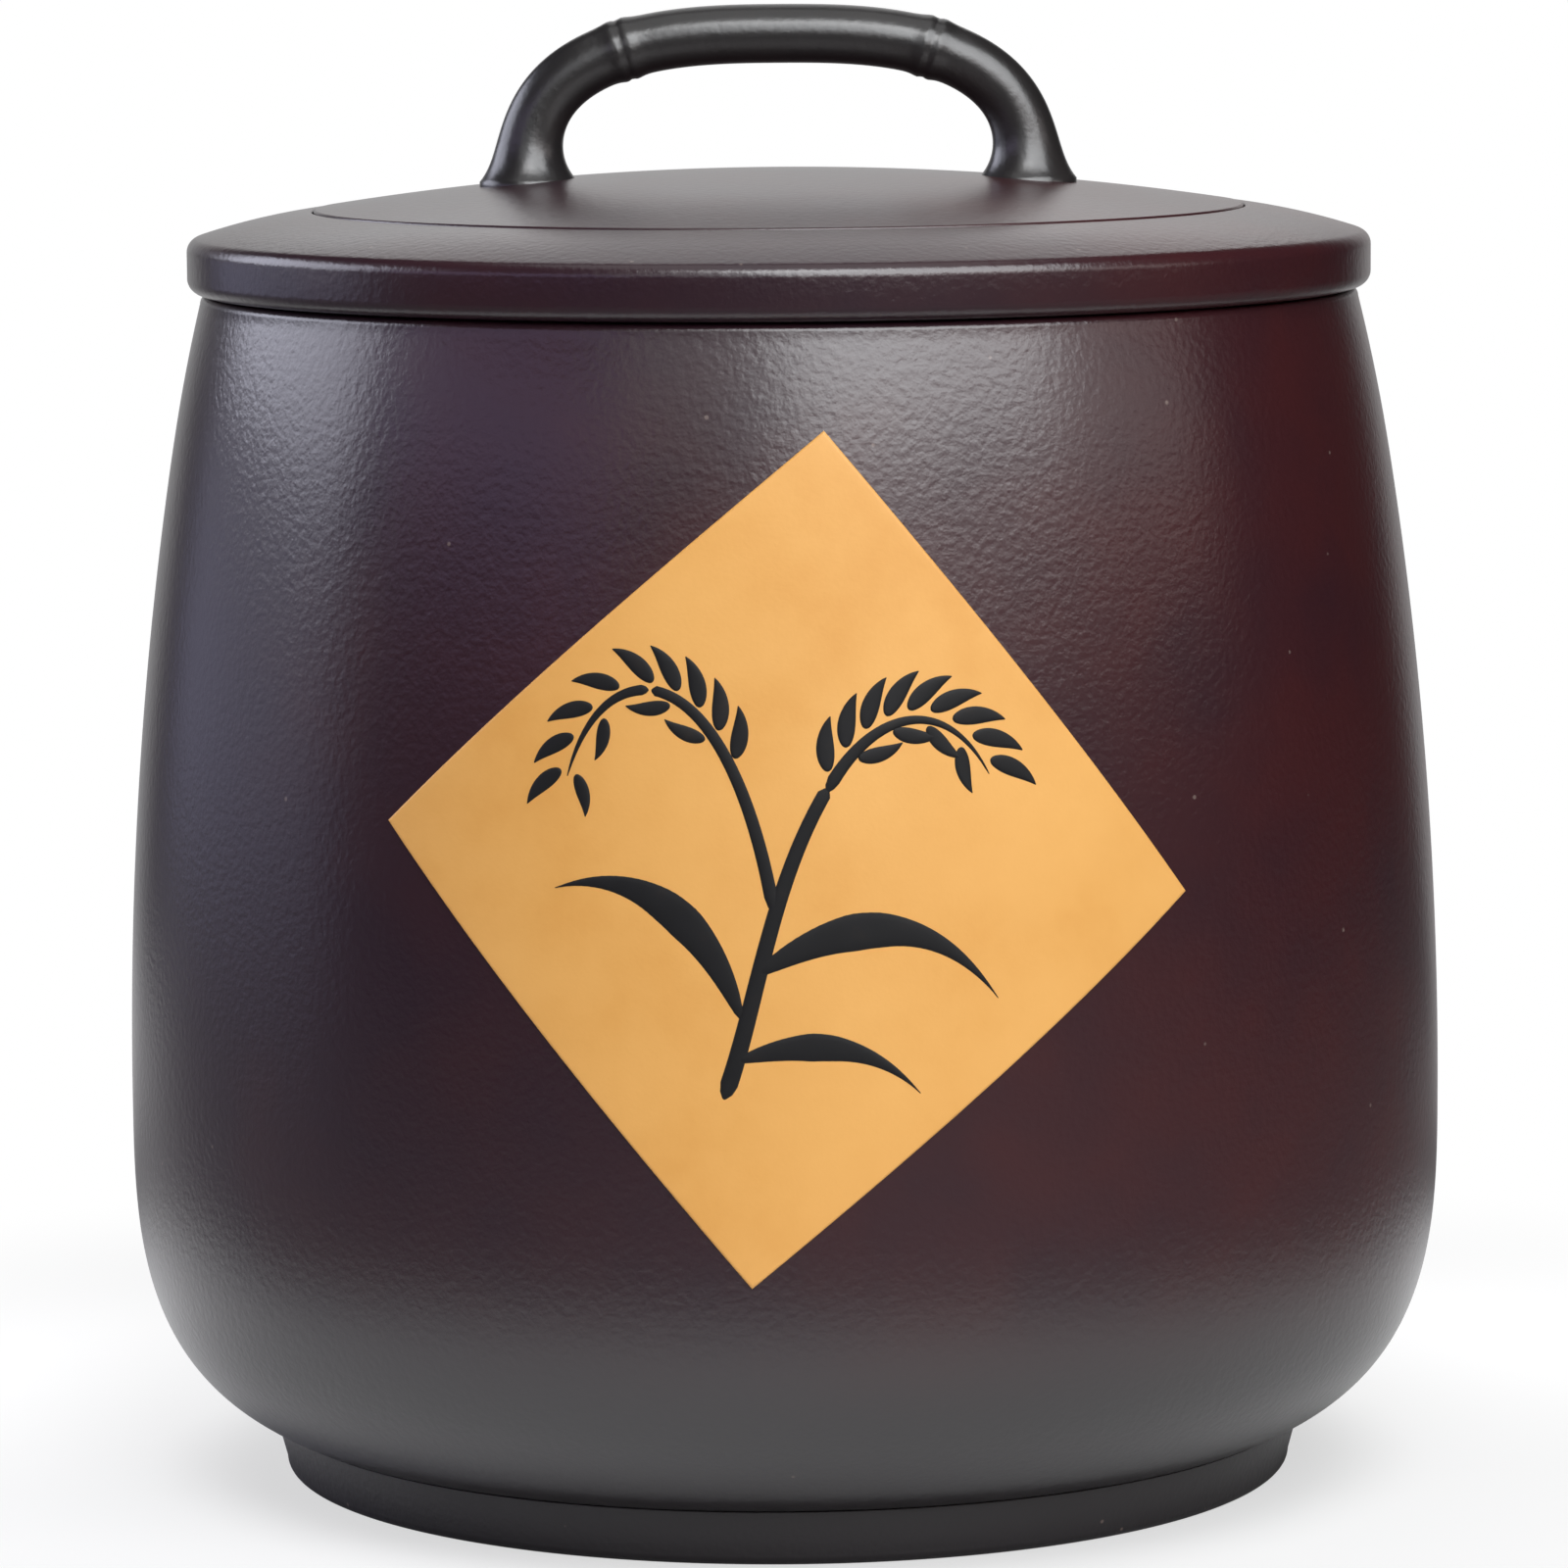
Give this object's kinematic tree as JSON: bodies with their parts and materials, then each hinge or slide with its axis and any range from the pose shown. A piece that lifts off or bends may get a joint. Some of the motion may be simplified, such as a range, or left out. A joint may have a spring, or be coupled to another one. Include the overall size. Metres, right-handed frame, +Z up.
{
  "type": "ceramic rice container",
  "caption": "Round stoneware rice jar with a foot ring, a diamond label panel and a lift-off lid with a lip seal and an arched bamboo-style handle.",
  "frame": {"origin": "on the jar's axis, on the flat face of the foot ring that the jar stands on", "axes": "+Z up along the jar's axis, -Y towards the front with the label panel, X along the lid's handle at rest"},
  "size_m": [0.2796, 0.2804, 0.3117],
  "materials": {
    "clay": "satin",
    "panel_slip": "satin",
    "silicone": "matte",
    "handle_clay": "satin"
  },
  "bodies": {
    "jar": {"jar_body": "clay", "foot_ring": "clay", "label_panel": "panel_slip"},
    "seal": {"seal_ring": "silicone"},
    "lid": {"lid_plate": "clay", "lid_dome": "clay", "lid_flange": "clay", "lid_handle": "handle_clay"}
  },
  "joints": [
    {"name": "lid_lift", "type": "slide", "parent": "jar", "child": "seal", "axis": [0, 0, 1], "range_m": [0, 0.12]},
    {"name": "lid_turn", "type": "hinge", "parent": "seal", "child": "lid", "pos_m": [0, 0, 0.252], "axis": [0, 0, 1], "continuous": true}
  ]
}
